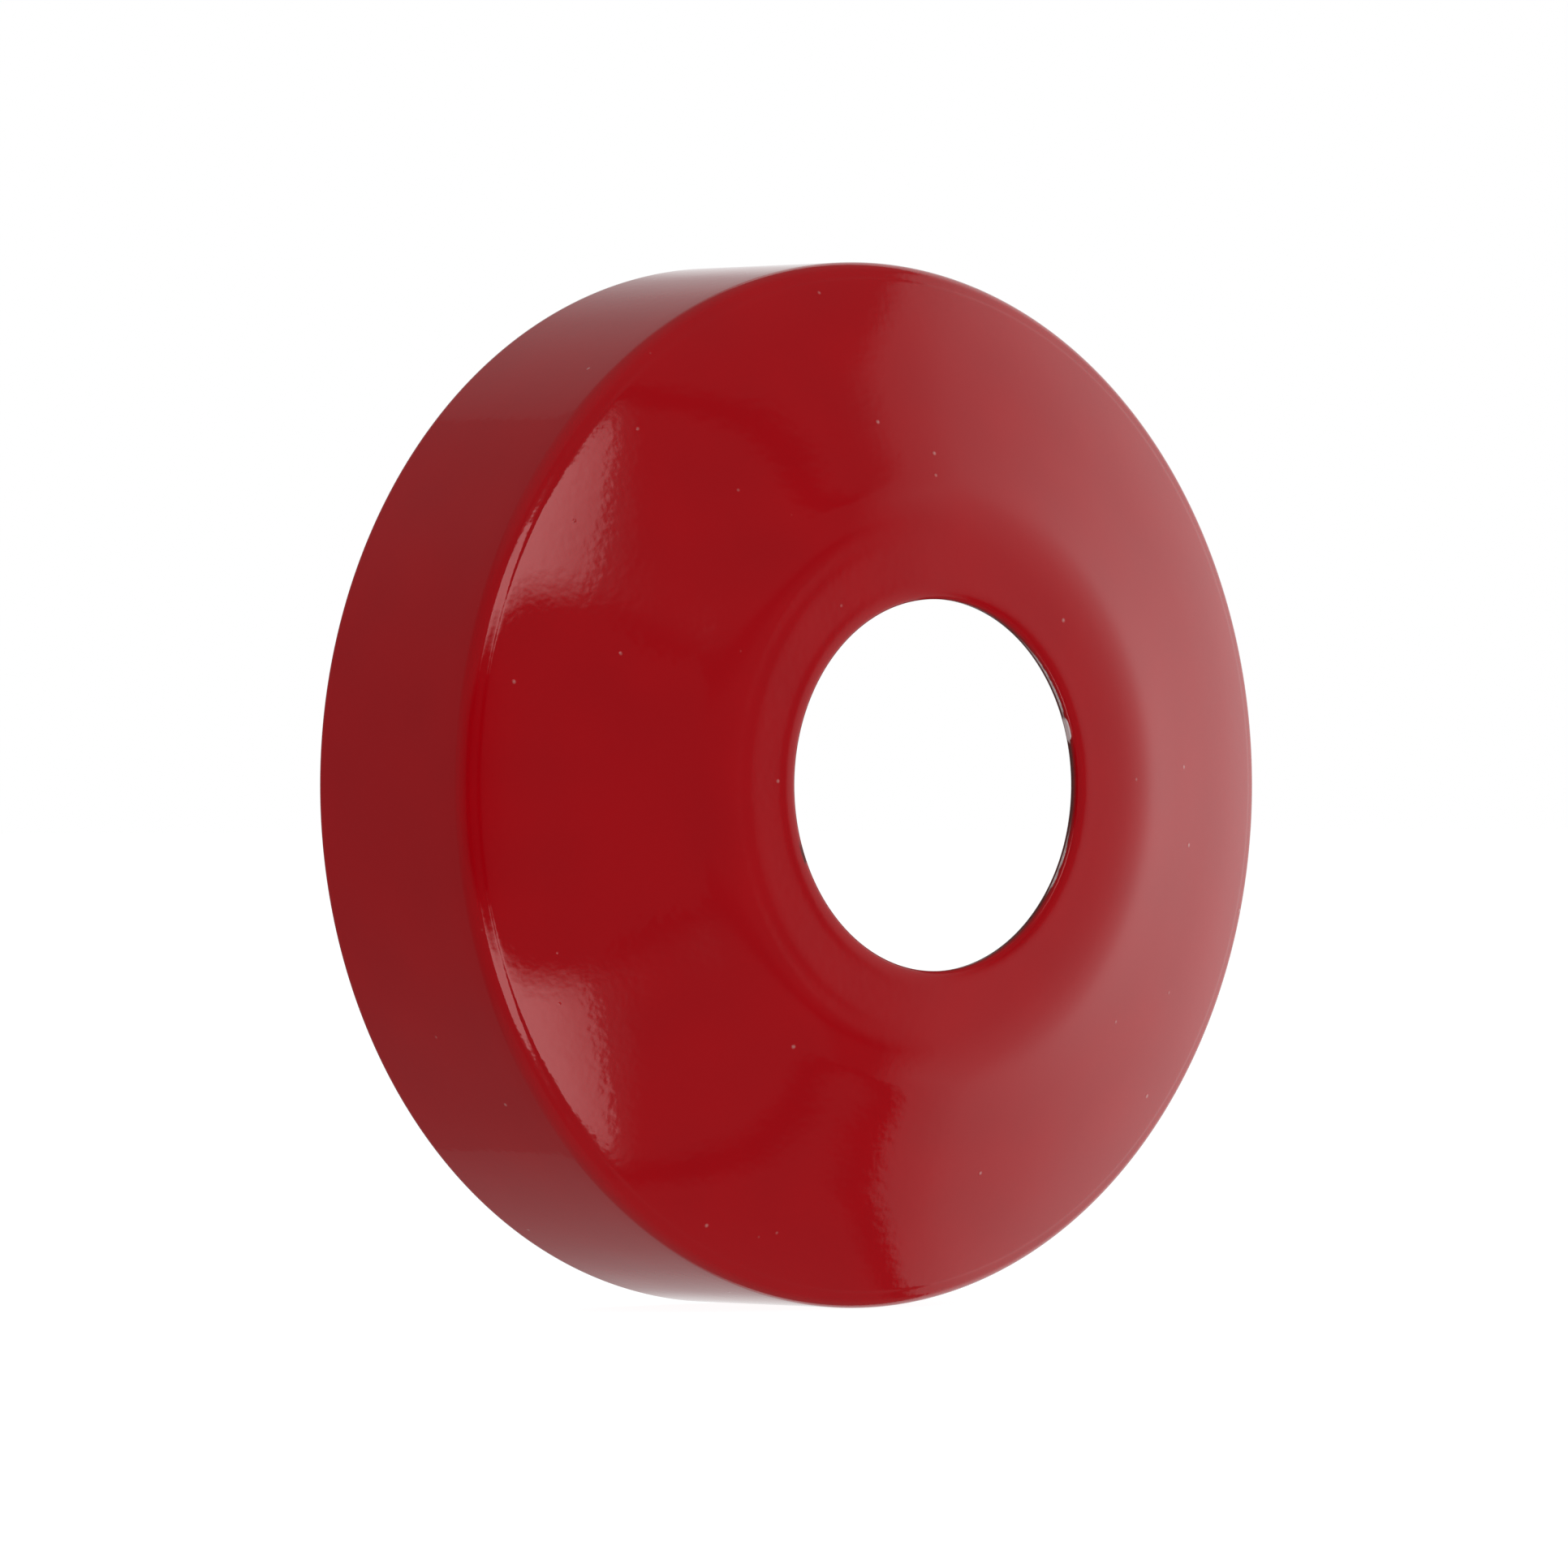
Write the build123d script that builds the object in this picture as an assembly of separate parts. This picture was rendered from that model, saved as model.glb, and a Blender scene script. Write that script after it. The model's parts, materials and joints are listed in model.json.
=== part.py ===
from build123d import *
import os
from math import cos, radians, sin, tan

# A wall escutcheon, the round cover that hides the gap around a half-inch pipe or tap tail where
# it leaves the wall. It is one deep-drawn cup of thin sheet steel: a straight skirt, a tight
# shoulder, a shallow cone that bows slightly, and a nearly flat crown with a punched hole. Gloss
# lacquer covers its outside and stops at the hole's cut edge.
#
# Frame: the origin is the centre of the skirt's rim, in the plane of the wall. +Z is up, and the
# crown faces -Y. Millimetres and degrees.

# Driving dimensions
COVER_RADIUS = 30.0  # outside of the skirt, lacquer included
COVER_HEIGHT = 18.9  # from the wall to the crown's inner edge
HOLE_RADIUS = 10.6  # passes a G 1/2 thread, 20.96 mm across
SHEET = 0.4  # thickness of the steel
COAT = 0.1  # thickness of the lacquer
CROWN_SLOPE = 1.5  # the crown is still very slightly domed
INNER_SLOPE = 21.9  # of the cone near the crown, from the wall's plane
OUTER_SLOPE = 25.6  # of the cone near the shoulder: it bows, as drawn sheet does
KNEE_RADIUS = 15.9  # where the lines of the crown and the inner cone meet
BOW_RADIUS = 25.0  # where the lines of the inner and the outer cone meet
KNEE_ROUND = 10.0  # outside radius between crown and cone
BOW_ROUND = 100.0  # outside radius of the cone's bow
SHOULDER_ROUND = 0.9  # outside radius between cone and skirt
EDGE_ROUND = 0.25  # outside radius of the roll-over that the punch leaves at the hole
EDGE_SETBACK = 0.1  # the roll-over's centre lies this far outside the hole's wall

# Unit normals of the outside, as (radius, height) in the meridian's plane
SKIRT_NORMAL = Vector(1, 0)
OUTER_NORMAL = Vector(sin(radians(OUTER_SLOPE)), cos(radians(OUTER_SLOPE)))
INNER_NORMAL = Vector(sin(radians(INNER_SLOPE)), cos(radians(INNER_SLOPE)))
CROWN_NORMAL = Vector(sin(radians(CROWN_SLOPE)), cos(radians(CROWN_SLOPE)))
EDGE_NORMAL = Vector(-1, 0)

# Corners of the outside before rounding, as (radius, height)
edge_radius = HOLE_RADIUS + EDGE_SETBACK - EDGE_ROUND
knee_height = COVER_HEIGHT - (KNEE_RADIUS - edge_radius) * tan(radians(CROWN_SLOPE))
bow_height = knee_height - (BOW_RADIUS - KNEE_RADIUS) * tan(radians(INNER_SLOPE))
shoulder_height = bow_height - (COVER_RADIUS - BOW_RADIUS) * tan(radians(OUTER_SLOPE))
EDGE_CORNER = Vector(edge_radius, COVER_HEIGHT)
KNEE_CORNER = Vector(KNEE_RADIUS, knee_height)
BOW_CORNER = Vector(BOW_RADIUS, bow_height)
SHOULDER_CORNER = Vector(COVER_RADIUS, shoulder_height)


def set_in(corner, normal_a, normal_b, depth):
    """The corner between two lines after both move inwards by depth."""
    return corner - (normal_a + normal_b) * (depth / (1 + normal_a.dot(normal_b)))


def rim_and_corners(depth):
    """The rim, shoulder, bow and knee of the outside set in by depth."""
    rim = Vector(COVER_RADIUS - depth, 0)
    shoulder = set_in(SHOULDER_CORNER, SKIRT_NORMAL, OUTER_NORMAL, depth)
    bow = set_in(BOW_CORNER, OUTER_NORMAL, INNER_NORMAL, depth)
    knee = set_in(KNEE_CORNER, INNER_NORMAL, CROWN_NORMAL, depth)
    return rim, shoulder, bow, knee


def corner_rounds(depth):
    """The rounds of the shoulder, bow and knee of the outside set in by depth."""
    return [SHOULDER_ROUND - depth, BOW_ROUND - depth, KNEE_ROUND - depth]


def turned(outline):
    """The solid that an outline of (radius, height) sweeps around the axis, crown towards -Y."""
    section = make_face(Plane.XZ * outline)
    return Rot(X=90) * revolve(section, axis=Axis.Z)


def blank(depth):
    """All that lies between the wall and the outside set in by depth, out from the hole."""
    rim, shoulder, bow, knee = rim_and_corners(depth)
    edge = set_in(EDGE_CORNER, CROWN_NORMAL, EDGE_NORMAL, depth)
    foot = Vector(edge.X, 0)
    rounds = corner_rounds(depth) + [EDGE_ROUND - depth]
    outside = FilletPolyline(rim, shoulder, bow, knee, edge, foot, radius=rounds)
    return turned(outside + Line(foot, rim))


def hollow():
    """The room inside the cup, up to the back of the sheet."""
    depth = COAT + SHEET
    rim, shoulder, bow, knee = rim_and_corners(depth)
    tip = Vector(0, knee.Y + knee.X * tan(radians(CROWN_SLOPE)))
    inside = FilletPolyline(rim, shoulder, bow, knee, tip, radius=corner_rounds(depth))
    return turned(inside + Polyline(tip, Vector(0, 0), rim))


def bore():
    """The punch's cylinder, right through the crown."""
    punch = Cylinder(HOLE_RADIUS, 2 * COVER_HEIGHT, align=(Align.CENTER, Align.CENTER, Align.MIN))
    return Rot(X=90) * punch


def pressed_shell():
    """The drawn and punched steel cup."""
    return blank(COAT) - hollow() - bore()


def lacquer_coat():
    """The lacquer on the cup's outside, from the rim to the cut edge of the hole."""
    return blank(0) - blank(COAT) - bore()


os.makedirs("parts", exist_ok=True)
for name, part in {"pressed_shell": pressed_shell(), "lacquer_coat": lacquer_coat()}.items():
    part.label = name
    export_step(part, f"parts/{name}.step")
    print(name, len(part.solids()), "solid", round(part.volume, 2), "mm3")
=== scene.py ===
"""A wall escutcheon in gloss red lacquer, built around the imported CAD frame.

Metres. The origin is the centre of the skirt's rim, +Z is up and the crown faces -Y.
"""

import json
import math
import random

import bpy
import numpy as np
from mathutils import Matrix, Vector, noise


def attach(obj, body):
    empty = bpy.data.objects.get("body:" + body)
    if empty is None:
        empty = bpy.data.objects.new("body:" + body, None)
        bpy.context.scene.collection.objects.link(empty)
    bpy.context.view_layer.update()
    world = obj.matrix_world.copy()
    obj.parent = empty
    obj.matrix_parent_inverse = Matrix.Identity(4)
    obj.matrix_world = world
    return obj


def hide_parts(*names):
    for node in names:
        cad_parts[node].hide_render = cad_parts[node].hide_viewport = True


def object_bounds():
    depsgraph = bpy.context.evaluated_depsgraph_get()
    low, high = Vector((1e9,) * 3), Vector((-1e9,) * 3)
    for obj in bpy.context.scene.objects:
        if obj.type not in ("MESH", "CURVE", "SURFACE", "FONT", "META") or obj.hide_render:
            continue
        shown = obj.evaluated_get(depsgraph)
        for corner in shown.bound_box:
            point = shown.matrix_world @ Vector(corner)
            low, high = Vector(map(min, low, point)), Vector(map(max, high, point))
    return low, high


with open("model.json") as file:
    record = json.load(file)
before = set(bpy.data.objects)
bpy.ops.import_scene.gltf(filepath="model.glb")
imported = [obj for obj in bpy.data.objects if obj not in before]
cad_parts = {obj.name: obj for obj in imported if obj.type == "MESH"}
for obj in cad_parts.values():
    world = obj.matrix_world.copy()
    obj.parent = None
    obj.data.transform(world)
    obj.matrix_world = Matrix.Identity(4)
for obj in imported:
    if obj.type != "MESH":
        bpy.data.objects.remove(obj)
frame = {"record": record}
cad_low, cad_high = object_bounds()

MM = 0.001

# The cover's main sizes, read from the frame
COVER_RADIUS = round(cad_high.x, 5)
COVER_HEIGHT = -cad_low.y
HOLE_RADIUS = frame["record"]["mounts"][0]["dims"]["r_mm"] * MM
COAT = 0.1 * MM
SHEET = 0.4 * MM

# The outside's slope against the wall, from the hole to the shoulder: radius in mm, then degrees on
# the right of the hole and on the left of it. On the left the punch raised a lip around the hole,
# and the crown's edge has a second, shallow ring. The step near the end is a crease by the shoulder.
SLOPES = [
    (10.60, -60.0, -42.0),
    (10.64, -46.0, -29.0),
    (10.72, -29.0, -17.0),
    (10.82, -18.0, -10.5),
    (11.00, -9.5, -5.5),
    (11.15, -4.5, -2.5),
    (11.30, -1.8, 1.5),
    (11.50, 0.2, 4.2),
    (11.65, 1.2, 3.4),
    (11.90, 1.5, 1.6),
    (12.40, 1.2, 1.4),
    (13.40, 2.2, 1.4),
    (13.80, 3.0, 2.2),
    (14.20, 4.2, 4.8),
    (14.50, 5.7, 2.9),
    (14.85, 7.4, 2.4),
    (15.30, 9.8, 7.0),
    (15.90, 13.4, 13.4),
    (16.90, 19.5, 19.5),
    (17.40, 21.4, 21.4),
    (18.20, 22.0, 22.0),
    (20.50, 21.6, 21.6),
    (23.50, 21.9, 21.9),
    (26.00, 23.4, 23.4),
    (28.00, 25.1, 25.1),
    (28.98, 26.0, 26.0),
    (29.06, 33.0, 33.0),
    (29.14, 27.0, 27.0),
    (29.50, 26.8, 26.8),
]
SLOPE_BLUR = 0.04 * MM
SLOPE_STEP = 0.01 * MM
SHOULDER_ROUND = 0.9 * MM
RIM_ROUND = 0.05 * MM

TURN_STEPS = 384


# ---------------------------------------------------------------- the meridian


def smooth(values, reach):
    """A running mean, twice, that leaves straight stretches as they are."""
    kernel = np.ones(2 * reach + 1) / (2 * reach + 1)
    for _ in range(2):
        padded = np.concatenate([np.full(reach, values[0]), values, np.full(reach, values[-1])])
        values = np.convolve(padded, kernel, "valid")
    return values


SHOULDER_SLOPE = math.radians(SLOPES[-1][1])
SHOULDER_START = COVER_RADIUS - SHOULDER_ROUND * (1 - math.sin(SHOULDER_SLOPE))
RADII = np.linspace(HOLE_RADIUS, SHOULDER_START, 1 + int(round((SHOULDER_START - HOLE_RADIUS) / SLOPE_STEP)))


def slopes_on(column):
    """The slope at each of RADII, in radians, from one column of SLOPES."""
    table = np.array(SLOPES)
    return np.radians(smooth(np.interp(RADII / MM, table[:, 0], table[:, column]), round(SLOPE_BLUR / SLOPE_STEP)))


def rise_on(column):
    """How far each of RADII stands above the start of the shoulder's round."""
    steepness = np.tan(slopes_on(column))
    drops = (steepness[1:] + steepness[:-1]) / 2 * np.diff(RADII)
    return np.concatenate([np.cumsum(drops[::-1])[::-1], [0]])


RIGHT, LEFT = 1, 2
SHOULDER_HEIGHT = COVER_HEIGHT - rise_on(RIGHT).max()


def picks(reach, bend):
    """Which of RADII to keep: at most reach apart, and less where the slope changes by bend."""
    bends = np.maximum(np.abs(np.diff(slopes_on(RIGHT))), np.abs(np.diff(slopes_on(LEFT))))
    way = np.concatenate([[0], np.cumsum(bends / bend + np.diff(RADII) / reach)])
    kept = np.searchsorted(way, np.linspace(0, way[-1], int(way[-1]) + 1))
    return np.unique(kept.clip(0, len(RADII) - 1))


def meridian(column, reach, bend, arc_steps, skirt_steps):
    """Rows of radius, height and slope along the outside, from the hole to the rim."""
    kept = picks(reach, math.radians(bend))
    cone = np.stack([RADII, SHOULDER_HEIGHT + rise_on(column), slopes_on(column)], axis=1)[kept]
    centre = np.array([COVER_RADIUS - SHOULDER_ROUND, cone[-1, 1] - SHOULDER_ROUND * math.cos(SHOULDER_SLOPE)])
    angle = np.linspace(SHOULDER_SLOPE, math.pi / 2, arc_steps + 1)[1:]
    arc = np.stack(
        [centre[0] + SHOULDER_ROUND * np.sin(angle), centre[1] + SHOULDER_ROUND * np.cos(angle), angle], axis=1
    )
    heights = np.append(np.linspace(centre[1], 0.2 * MM, skirt_steps)[1:], RIM_ROUND)
    skirt = np.stack([np.full(skirt_steps, COVER_RADIUS), heights, np.full(skirt_steps, math.pi / 2)], axis=1)
    return np.concatenate([cone, arc, skirt])


def set_in(rows, depth):
    """Radius and height of the rows moved inwards by depth."""
    return rows[:, :2] - depth * np.stack([np.sin(rows[:, 2]), np.cos(rows[:, 2])], axis=1)


def left_share(turns):
    """1 on the left of the hole, 0 on the right, with a smooth change over the top and bottom."""
    share = np.clip(-np.cos(turns) / 0.75, 0, 1)
    return share * share * (3 - 2 * share)


def waves(turns, radius):
    """The sheet's faint unevenness, as a height of a few micrometres."""
    dice = random.Random(7)
    total = np.zeros(np.broadcast(turns, radius).shape)
    for around in (1, 2, 3, 5, 7, 9, 12, 16):
        length = dice.uniform(5, 11) * MM
        phase = dice.uniform(0, 2 * math.pi)
        total += np.sin(around * turns + phase) * np.sin(2 * math.pi * radius / length + phase * 3) / around**0.5
    return total * 0.0011 * MM


def turned(name, loop_on):
    """A mesh object that the closed loops of the right and the left sweep around the hole's axis."""
    turns = (np.arange(TURN_STEPS) * 2 * math.pi / TURN_STEPS)[:, None]
    share = left_share(turns)[:, :, None]
    loops = loop_on(RIGHT)[None] * (1 - share) + loop_on(LEFT)[None] * share
    radius, height = loops[:, :, 0], loops[:, :, 1]
    on_top = np.clip((height - 12.2 * MM) / (1.5 * MM), 0, 1)
    height = height + waves(turns, radius) * on_top
    points = np.stack([radius * np.cos(turns), -height, radius * np.sin(turns)], axis=2).reshape(-1, 3)
    size = loops.shape[1]
    i, j = np.meshgrid(np.arange(TURN_STEPS), np.arange(size), indexing="ij")
    i2, j2 = (i + 1) % TURN_STEPS, (j + 1) % size
    faces = np.stack([i * size + j, i * size + j2, i2 * size + j2, i2 * size + j], axis=2).reshape(-1, 4)
    mesh = bpy.data.meshes.new(name)
    mesh.from_pydata(points.tolist(), [], faces.tolist())
    mesh.shade_smooth()
    mesh.update()
    piece = bpy.data.objects.new(name, mesh)
    bpy.context.scene.collection.objects.link(piece)
    return piece


def joint_face(column):
    """Where the lacquer meets the steel. Both pieces use the same rows."""
    return set_in(meridian(column, 1.0 * MM, 5.0, 6, 3), COAT)


def lacquer_loop(column):
    """The lacquer's closed section: outside, rim, joint, and the rounded end at the hole."""
    outside = meridian(column, 0.2 * MM, 1.25, 14, 12)[:, :2]
    rim = np.array([(COVER_RADIUS - 0.03 * MM, 0.008 * MM), (COVER_RADIUS - COAT, 0.0)])
    back = joint_face(column)[::-1]
    end = np.array(outside[0] + np.array([(0.045, -0.085), (0.015, -0.075), (0.0, -0.04)]) * MM)
    return np.concatenate([outside, rim, back, end])


def shell_loop(column):
    """The steel's closed section: joint, rim, inside, and the punched edge with its rounded burr side."""
    front = joint_face(column)
    rim = np.array(
        [
            (COVER_RADIUS - COAT - 0.03 * MM, 0.0),
            (COVER_RADIUS - COAT - SHEET + 0.06 * MM, 0.0),
            (COVER_RADIUS - COAT - SHEET, 0.03 * MM),
        ]
    )
    rows = meridian(column, 0.5 * MM, 3.0, 8, 6)
    inside = set_in(rows[rows[:, 0] > 11.8 * MM], COAT + SHEET)[::-1]
    low = inside[-1, 1] - 0.12 * MM
    top = front[0, 1]
    wall = HOLE_RADIUS + 0.01 * MM
    edge = np.array(
        [
            (wall + 0.5 * MM, low + 0.07 * MM),
            (wall + 0.12 * MM, low),
            (wall + 0.04 * MM, low + 0.02 * MM),
            (wall + 0.01 * MM, low + 0.07 * MM),
            (wall, low + 0.14 * MM),
            (wall, (low + top) / 2),
            (wall, top - 0.03 * MM),
            (wall + 0.02 * MM, top - 0.01 * MM),
        ]
    )
    return np.concatenate([front, rim, inside, edge])


# ---------------------------------------------------------------- shader graphs


class Graph:
    """Short calls that add nodes to a tree and join them."""

    def __init__(self, tree):
        self.tree = tree
        tree.nodes.clear()

    def add(self, kind, settings=None, **inputs):
        made = self.tree.nodes.new(kind)
        for key, value in (settings or {}).items():
            setattr(made, key, value)
        for key, value in inputs.items():
            self.put(made.inputs[key.replace("_", " ")], value)
        return made

    def put(self, socket, value):
        if isinstance(value, bpy.types.NodeSocket):
            self.tree.links.new(value, socket)
        else:
            socket.default_value = value

    def math(self, operation, *values):
        made = self.tree.nodes.new("ShaderNodeMath")
        made.operation = operation
        for socket, value in zip(made.inputs, values):
            self.put(socket, value)
        return made.outputs[0]

    def step(self, value, low, high, bottom=0.0, top=1.0):
        """Rises smoothly from bottom to top as value goes from low to high; falls if low > high."""
        if low > high:
            low, high, bottom, top = high, low, top, bottom
        made = self.add(
            "ShaderNodeMapRange",
            {"interpolation_type": "SMOOTHSTEP"},
            Value=value,
        )
        for key, number in (("From Min", low), ("From Max", high), ("To Min", bottom), ("To Max", top)):
            made.inputs[key].default_value = number
        return made.outputs[0]

    def ramp(self, value, low, high, stops):
        """Straight lines through (value, level) stops that lie between low and high."""
        made = self.add("ShaderNodeValToRGB", Fac=self.math("DIVIDE", self.math("SUBTRACT", value, low), high - low))
        points = made.color_ramp.elements
        while len(points) < len(stops):
            points.new(1.0)
        for point, (at, level) in zip(points, stops):
            point.position = (at - low) / (high - low)
            point.color = (level, level, level, 1)
        return made.outputs["Color"]

    def blend(self, share, bottom, top):
        """bottom where share is 0, top where it is 1."""
        made = self.add("ShaderNodeMix", {"data_type": "FLOAT"})
        self.put(made.inputs["Factor"], share)
        self.put(made.inputs["A"], bottom)
        self.put(made.inputs["B"], top)
        return made.outputs["Result"]


def new_material(name):
    material = bpy.data.materials.new(name)
    material.use_nodes = True
    graph = Graph(material.node_tree)
    out = graph.add("ShaderNodeOutputMaterial")
    shader = graph.add("ShaderNodeBsdfPrincipled")
    graph.tree.links.new(shader.outputs[0], out.inputs[0])
    return material, graph, shader


def places(graph):
    """Texture coordinates of the piece: the position, the radius in mm, the angle in degrees, the height in mm."""
    position = graph.add("ShaderNodeTexCoord").outputs["Object"]
    split = graph.add("ShaderNodeSeparateXYZ", Vector=position).outputs
    squares = graph.math("MULTIPLY_ADD", split["X"], split["X"], graph.math("MULTIPLY", split["Z"], split["Z"]))
    radius = graph.math("MULTIPLY", graph.math("SQRT", squares), 1 / MM)
    angle = graph.math("MULTIPLY", graph.math("ARCTAN2", split["Z"], split["X"]), 180 / math.pi)
    height = graph.math("MULTIPLY", split["Y"], -1 / MM)
    return position, radius, angle, height


def red_lacquer():
    """Gloss lacquer with orange peel, dust nibs, and a chip and a nick at the hole's edge."""
    material, g, shader = new_material("red_lacquer")
    position, radius, angle, height = places(g)
    peel = g.add("ShaderNodeTexNoise", Vector=position, Scale=2000.0, Detail=1.5).outputs["Fac"]
    swell = g.add("ShaderNodeTexNoise", Vector=position, Scale=260.0, Detail=0.0).outputs["Fac"]
    cell = g.add("ShaderNodeTexVoronoi", {"feature": "F1"}, Vector=position, Scale=330.0).outputs["Distance"]
    nib = g.step(cell, 0.055, 0.01)

    # a chip and the worn band at the hole's edge, coloured pale pink as a painted highlight of the bare metal's
    # reflection, a nick on the other side darkened as painted shade, and painted shade in the roll-over
    ragged = g.add("ShaderNodeTexNoise", Vector=position, Scale=1500.0, Detail=2.0).outputs["Fac"]
    on_crown = g.step(height, 17.0, 17.5)
    chip = g.math("MULTIPLY", g.step(angle, 13.5, 15.5), g.step(angle, 22.5, 19.5))
    upper = g.math("MULTIPLY", g.step(angle, 20.0, 25.0), g.step(angle, 56.0, 38.0))
    lower = g.math("MULTIPLY", g.step(angle, -38.0, -31.0), g.step(angle, -9.0, -24.0))
    bared = g.math("MAXIMUM", g.math("MULTIPLY", chip, 0.10), g.math("MULTIPLY", g.math("MAXIMUM", upper, lower), 0.035))
    reach = g.math("ADD", g.math("ADD", bared, 10.58), g.math("MULTIPLY_ADD", ragged, 0.08, -0.04))
    # painted highlight: this mask of the worn band and the chip gets a pale pink colour below
    worn_and_highlight = g.math("MULTIPLY", g.step(g.math("SUBTRACT", reach, radius), 0.0, 0.02), on_crown)
    nick = g.math("MULTIPLY", g.step(angle, -164.0, -160.0), g.step(angle, -155.0, -156.5))
    nick = g.math("MULTIPLY", nick, g.step(g.math("MULTIPLY_ADD", ragged, 0.16, radius), 10.98, 10.92))
    # painted shade: the roll-over at the hole is darkened, and the nick more so, to stand in for shade; the nick itself
    # is a real mark
    painted_shade = g.math("MULTIPLY", g.step(radius, 10.70, 10.64), 0.3)
    painted_shade = g.math("MAXIMUM", painted_shade, g.math("MULTIPLY", nick, 0.8))
    painted_shade = g.math("MULTIPLY", painted_shade, on_crown)

    tone = g.math("MULTIPLY_ADD", swell, 0.05, 0.475)
    paint = g.add("ShaderNodeCombineXYZ", X=tone, Y=0.0006, Z=0.0055).outputs[0]
    dusty = g.add("ShaderNodeMix", {"data_type": "RGBA"})
    g.put(dusty.inputs["Factor"], g.math("MULTIPLY", nib, 0.6))
    g.put(dusty.inputs[6], paint)
    g.put(dusty.inputs[7], (0.75, 0.35, 0.33, 1))
    with_shade = g.add("ShaderNodeMix", {"data_type": "RGBA"})
    g.put(with_shade.inputs["Factor"], painted_shade)
    g.put(with_shade.inputs[6], dusty.outputs[2])
    g.put(with_shade.inputs[7], (0.06, 0.012, 0.01, 1))
    # painted highlight: the worn band and the chip take a pale pink that stands in for the bright reflection of bare
    # metal
    bare_and_highlight = g.add("ShaderNodeMix", {"data_type": "RGBA"})
    g.put(bare_and_highlight.inputs["Factor"], worn_and_highlight)
    g.put(bare_and_highlight.inputs[6], with_shade.outputs[2])
    g.put(bare_and_highlight.inputs[7], (1.0, 0.84, 0.83, 1))
    g.put(shader.inputs["Base Color"], bare_and_highlight.outputs[2])
    soft = g.math("MULTIPLY_ADD", peel, 0.012, 0.024)
    g.put(shader.inputs["Roughness"], g.math("MAXIMUM", soft, g.math("MULTIPLY", g.math("MAXIMUM", worn_and_highlight, nick), 0.5)))
    shader.inputs["IOR"].default_value = 1.5

    relief = g.math("MULTIPLY_ADD", peel, 0.0042 * MM, g.math("MULTIPLY", swell, 0.007 * MM))
    relief = g.math("MULTIPLY_ADD", nib, 0.02 * MM, relief)
    bump = g.add("ShaderNodeBump", Height=relief, Distance=1.0, Strength=1.0)
    g.put(shader.inputs["Normal"], bump.outputs[0])
    return material


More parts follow.
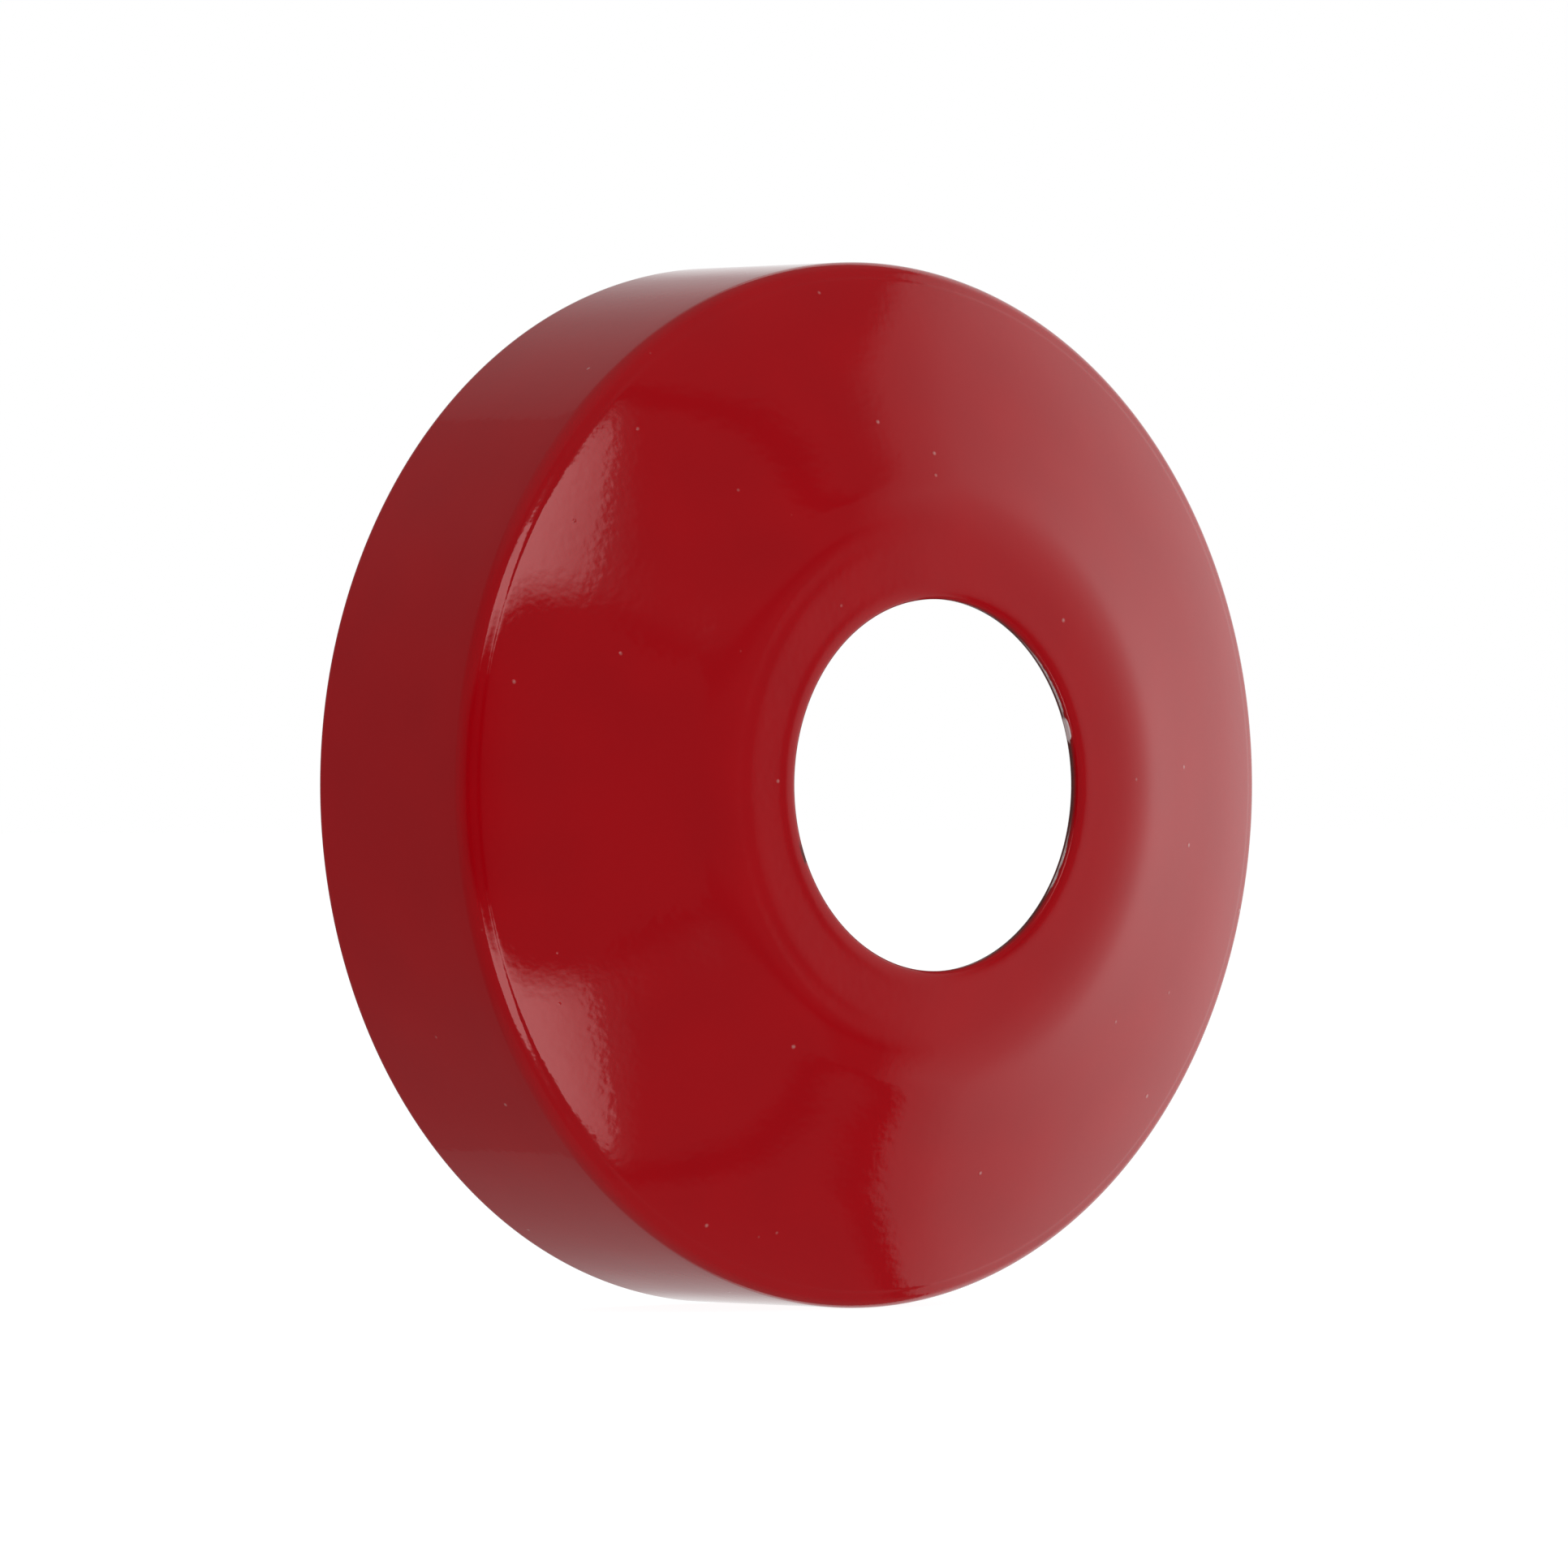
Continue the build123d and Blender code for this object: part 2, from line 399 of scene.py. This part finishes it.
def bare_steel():
    """Drawn steel: rings from the die, a mist of lacquer near the rim, and a cut edge painted dark as shade."""
    material, g, shader = new_material("bare_steel")
    position, radius, angle, height = places(g)
    along = g.math("MULTIPLY", angle, 0.02)
    lines = g.add("ShaderNodeCombineXYZ", X=radius, Y=height, Z=along).outputs[0]
    rings = g.add("ShaderNodeTexNoise", Vector=lines, Scale=3.0, Detail=4.0).outputs["Fac"]
    blotch = g.add("ShaderNodeTexNoise", Vector=position, Scale=140.0, Detail=3.0).outputs["Fac"]
    speck = g.add("ShaderNodeTexNoise", Vector=position, Scale=2600.0, Detail=1.0).outputs["Fac"]

    spray = g.math("ADD", speck, g.step(height, 3.4, 0.1, -0.25, 0.45))
    mist = g.step(spray, 0.36, 0.80)

    # the cut edge: painted shade, darker at its torn back, with a burnished line on two stretches coloured pale pink as
    # a painted highlight
    cut = g.math("MULTIPLY", g.step(radius, 10.80, 10.70), g.step(height, 17.0, 17.5))
    # painted shade: the mask over the cut edge that is coloured dark below
    cut_edge_shade = g.math("MULTIPLY", cut, g.step(g.math("ADD", blotch, g.math("MULTIPLY", rings, 0.3)), 0.45, 0.62, 0.9, 1.0))
    upper = g.math("MULTIPLY", g.step(angle, 20.0, 25.0), g.step(angle, 56.0, 38.0))
    lower = g.math("MULTIPLY", g.step(angle, -38.0, -31.0), g.step(angle, -9.0, -24.0))
    chip = g.math("MULTIPLY", g.step(angle, 12.5, 14.5), g.step(angle, 23.0, 20.0))
    wobble = g.math("MULTIPLY_ADD", speck, 0.06, height)
    # painted highlight: the band below marks where the cut edge is coloured pale pink
    back = g.math("MULTIPLY_ADD", chip, -0.14, 18.52)
    band = g.step(g.math("SUBTRACT", wobble, back), 0.0, 0.03)
    band = g.math("MULTIPLY", band, g.step(wobble, 18.64, 18.61))
    painted_highlight = g.math("MULTIPLY", g.math("MULTIPLY", band, cut), g.math("MAXIMUM", g.math("MAXIMUM", upper, lower), chip))
    ran_over = g.step(height, 18.50, 18.60)

    metal = g.math("MULTIPLY_ADD", blotch, 0.12, 0.50)
    grey = g.add("ShaderNodeCombineXYZ", X=metal, Y=g.math("MULTIPLY", metal, 0.985), Z=g.math("MULTIPLY", metal, 0.965))
    # painted shade: the cut edge is coloured dark, darkest at its torn back and reddish where the lacquer ran over
    shaded_cut = g.add("ShaderNodeMix", {"data_type": "RGBA"})
    g.put(shaded_cut.inputs["Factor"], cut_edge_shade)
    g.put(shaded_cut.inputs[6], grey.outputs[0])
    g.put(shaded_cut.inputs[7], g.add("ShaderNodeCombineXYZ", X=g.blend(ran_over, 0.17, 0.33), Y=0.03, Z=0.026).outputs[0])
    # painted highlight: a pale pink line on the cut edge stands in for the bright reflection of the bare metal
    highlighted = g.add("ShaderNodeMix", {"data_type": "RGBA"})
    g.put(highlighted.inputs["Factor"], painted_highlight)
    g.put(highlighted.inputs[6], shaded_cut.outputs[2])
    g.put(highlighted.inputs[7], (1.0, 0.80, 0.79, 1))
    painted = g.add("ShaderNodeMix", {"data_type": "RGBA"})
    g.put(painted.inputs["Factor"], mist)
    g.put(painted.inputs[6], highlighted.outputs[2])
    g.put(painted.inputs[7], (0.36, 0.008, 0.01, 1))
    g.put(shader.inputs["Base Color"], painted.outputs[2])
    covered = g.math("MAXIMUM", mist, g.math("MULTIPLY", cut_edge_shade, 0.95))
    g.put(shader.inputs["Metallic"], g.math("SUBTRACT", 1.0, covered))
    rough = g.math("MULTIPLY_ADD", rings, 0.22, g.math("MULTIPLY_ADD", blotch, 0.16, 0.14))
    g.put(shader.inputs["Roughness"], g.math("MAXIMUM", rough, g.math("MULTIPLY", mist, 0.5)))
    relief = g.math("MULTIPLY", rings, 0.006 * MM)
    bump = g.add("ShaderNodeBump", Height=relief, Distance=1.0, Strength=1.0)
    g.put(shader.inputs["Normal"], bump.outputs[0])
    return material


# ---------------------------------------------------------------- studio


def studio_world():
    """What the gloss mirrors: a bright wall on the right, a dim room, and a slanting softbox above and below.

    The camera sees plain white instead.
    """
    world = bpy.data.worlds.new("studio")
    bpy.context.scene.world = world
    world.use_nodes = True
    g = Graph(world.node_tree)
    direction = g.add("ShaderNodeTexCoord").outputs["Generated"]
    split = g.add("ShaderNodeSeparateXYZ", Vector=direction).outputs
    degrees = 180 / math.pi
    # side: degrees from the crown's direction towards +X. turn: the same from 0 to 360. up: degrees off level.
    side = g.math("MULTIPLY", g.math("ARCTAN2", split["X"], g.math("MULTIPLY", split["Y"], -1.0)), degrees)
    turn = g.math("WRAP", side, 360.0, 0.0)
    up = g.math("MULTIPLY", g.math("ABSOLUTE", g.math("ARCSINE", split["Z"])), degrees)

    low_down = g.step(split["Z"], 0.08, -0.08)
    # above: degrees over a shallow V that the wall reaches up to, with a dark seam along it
    above = g.math("ABSOLUTE", g.math("SUBTRACT", side, 34.0))
    above = g.math("SUBTRACT", up, g.math("MULTIPLY_ADD", above, 0.2, 32.3))
    seam = g.step(g.math("ABSOLUTE", g.math("SUBTRACT", above, 0.2)), 0.3, 2.0, 0.45, 0.0)
    seam = g.math("MULTIPLY", seam, g.math("MULTIPLY", g.step(side, 6, 12), g.step(side, 75, 60)))
    seam = g.math("MULTIPLY", seam, g.math("MAXIMUM", low_down, g.step(side, 40, 32)))
    shade = g.math("MULTIPLY", g.step(g.math("ABSOLUTE", g.math("SUBTRACT", side, 34.0)), 3.0, 7.0, 0.3, 0.0), low_down)
    shade = g.math("MULTIPLY", shade, g.math("MULTIPLY", g.step(up, 12, 18), g.step(above, 0.5, -1.5)))

    dim = g.ramp(up, 0, 90, [(0, 0.145), (8.5, 0.14), (12.3, 0.105), (15, 0.095), (16.5, 0.105), (18.5, 0.15),
                             (21, 0.165), (31, 0.165), (38, 0.18), (42.5, 0.22), (57, 0.25), (90, 0.30)])
    dim = g.math("MULTIPLY", dim, g.math("SUBTRACT", 1.0, g.math("MAXIMUM", seam, shade)))
    wall = g.ramp(turn, 0, 180, [(42, 0.47), (44, 0.51), (48, 0.59), (54, 0.66), (60, 0.78), (66, 0.87), (71, 0.97),
                                 (76, 1.07), (81.6, 1.13), (88, 1.17), (94, 1.22), (98.6, 1.20), (118, 0.98),
                                 (139.5, 0.95), (141.3, 0.82), (143, 0.60), (148, 0.45), (154, 0.37), (163, 0.33),
                                 (173, 0.30), (180, 0.26)])
    wall = g.math("MULTIPLY", wall, g.step(above, -7.0, -1.5, 1.0, 0.8))
    far = g.ramp(turn, 180, 360, [(180, 0.27), (217, 0.18), (235, 0.17), (256, 0.19), (275, 0.15), (293, 0.12),
                                  (305, 0.095), (313, 0.06), (320, 0.02), (341, 0.02), (345, 0.05), (350, 0.13),
                                  (353, 0.145), (360, 0.145)])
    far = g.blend(g.step(up, 9.0, 19.0), far, g.ramp(turn, 180, 360, [(180, 0.27), (217, 0.18), (240, 0.15),
                                                                      (360, 0.15)]))
    # the wall's left edge is soft high up and lies a little further right low down
    from_edge = g.math("SUBTRACT", side, g.step(split["Z"], -0.1, -0.3, 38.0, 40.3))
    wall_edge = g.step(g.math("DIVIDE", from_edge, g.step(split["Z"], 0.08, 0.28, 4.2, 6.5)), -1.0, 1.0)
    wall_top = g.blend(low_down, g.step(above, 1.3, -1.9), g.step(above, -0.1, -1.9))
    left_half = g.step(turn, 179.9, 180.1)
    right_share = g.math("MULTIPLY", wall_edge, wall_top)
    wall_share = g.blend(left_half, right_share, g.step(up, 43.0, 31.0))
    room = g.blend(wall_share, dim, g.blend(left_half, wall, far))

    across = g.math("MULTIPLY_ADD", up, 0.6, g.math("MULTIPLY", side, -1.0))  # 12 at the softbox's right edge
    along = g.math("MULTIPLY_ADD", side, -0.62, up)  # 31 at its upper edge
    drop = g.math("MULTIPLY", g.math("MINIMUM", g.math("ADD", side, 6.8), 0.0), 0.55)
    foot = g.math("SUBTRACT", up, drop)  # 19 at its lower edge
    left_edge = g.step(side, -19.5, -15.0)
    core = g.math("MULTIPLY", g.step(across, 11.7, 13.5), g.step(foot, 17.0, 21.8))
    core = g.math("MULTIPLY", core, g.math("MULTIPLY", g.step(along, 31.3, 30.2), g.step(up, 36.8, 33.4)))
    core = g.math("MULTIPLY", core, left_edge)
    halo = g.math("MULTIPLY", g.step(across, 8.6, 12.4), g.step(foot, 17.2, 20.0))
    halo = g.math("MULTIPLY", halo, g.math("MULTIPLY", g.step(along, 33.6, 29.8), g.step(up, 37.5, 35.0, 0.0, 0.2)))
    halo = g.math("MULTIPLY", halo, left_edge)
    glow = g.math("MULTIPLY", core, g.step(across, 10.5, 20.5, 0.70, 1.97))
    light = g.math("ADD", g.math("ADD", room, halo), glow)
    warm = g.math("MULTIPLY_ADD", glow, 0.55, light)

    color = g.add("ShaderNodeCombineXYZ", X=warm, Y=light, Z=light).outputs[0]
    seen = g.add("ShaderNodeLightPath").outputs["Is Camera Ray"]
    lit = g.add("ShaderNodeBackground", Color=color)
    plain = g.add("ShaderNodeBackground", Color=(1, 1, 1, 1))
    mix = g.add("ShaderNodeMixShader", Fac=seen)
    g.tree.links.new(lit.outputs[0], mix.inputs[1])
    g.tree.links.new(plain.outputs[0], mix.inputs[2])
    out = g.add("ShaderNodeOutputWorld")
    g.tree.links.new(mix.outputs[0], out.inputs[0])


def soft_lamp(name, side, rise, distance, size, power):
    """A square area light that looks at the origin. Only matt surfaces receive it."""
    data = bpy.data.lights.new(name, "AREA")
    data.shape = "SQUARE"
    data.size = size
    data.energy = power
    lamp = bpy.data.objects.new(name, data)
    bpy.context.scene.collection.objects.link(lamp)
    a, e = math.radians(side), math.radians(rise)
    way = Vector((math.sin(a) * math.cos(e), -math.cos(a) * math.cos(e), math.sin(e)))
    lamp.location = way * distance
    lamp.rotation_mode = "QUATERNION"
    lamp.rotation_quaternion = way.to_track_quat("Z", "Y")
    lamp.visible_camera = False
    lamp.visible_glossy = False
    return lamp


def pale_floor():
    """A pale floor that the rim just touches. Only the camera sees it, so the gloss mirrors the studio."""
    half, depth = 6.0, -COVER_RADIUS - 0.02 * MM
    mesh = bpy.data.meshes.new("floor")
    mesh.from_pydata(
        [(-half, -half, depth), (half, -half, depth), (half, half, depth), (-half, half, depth)],
        [],
        [(0, 1, 2, 3)],
    )
    floor = bpy.data.objects.new("floor", mesh)
    bpy.context.scene.collection.objects.link(floor)
    material, graph, shader = new_material("floor_white")
    shader.inputs["Base Color"].default_value = (0.25, 0.25, 0.25, 1)
    shader.inputs["Roughness"].default_value = 0.9
    shader.inputs["Specular IOR Level"].default_value = 0.0
    shader.inputs["Emission Color"].default_value = (1, 1, 1, 1)
    shader.inputs["Emission Strength"].default_value = 0.96
    mesh.materials.append(material)
    floor.visible_glossy = False
    floor.visible_diffuse = False
    floor.visible_shadow = False
    floor.visible_transmission = False


def camera():
    """The camera stands level with the hole, 40 degrees round to the left of the crown's direction."""
    turn = math.radians(40.32)
    distance = 0.8
    aside = 3.435 * MM
    above = 0.066 * MM
    right = Vector((math.cos(turn), -math.sin(turn), 0))
    forward = Vector((math.sin(turn), math.cos(turn), 0))
    data = bpy.data.cameras.new("camera")
    data.sensor_width = 36
    data.lens = 316.41
    data.clip_start = 0.05
    data.clip_end = 20
    made = bpy.data.objects.new("camera", data)
    bpy.context.scene.collection.objects.link(made)
    made.location = right * aside - forward * distance + Vector((0, 0, above))
    made.rotation_mode = "QUATERNION"
    made.rotation_quaternion = forward.to_track_quat("-Z", "Y")
    bpy.context.scene.camera = made


# ---------------------------------------------------------------- build

camera()
studio_world()
soft_lamp("fill_left", -62, 0, 0.7, 0.9, 1.05)
soft_lamp("fill_front", 20, 0, 0.7, 0.9, 1.93)
soft_lamp("fill_right", 70, 0, 0.7, 0.9, 0.1)
soft_lamp("fill_over", -110, 55, 0.7, 0.6, 0.9)
soft_lamp("fill_under", -110, -55, 0.7, 0.6, 0.75)
pale_floor()
bpy.context.scene.view_settings.view_transform = "Standard"

LACQUER = red_lacquer()
STEEL = bare_steel()

lacquer = turned("lacquer_skin", lacquer_loop)
lacquer.data.materials.append(LACQUER)
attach(lacquer, "root")
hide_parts("lacquer_coat")

shell = turned("steel_cup", shell_loop)
shell.data.materials.append(STEEL)
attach(shell, "root")
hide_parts("pressed_shell")
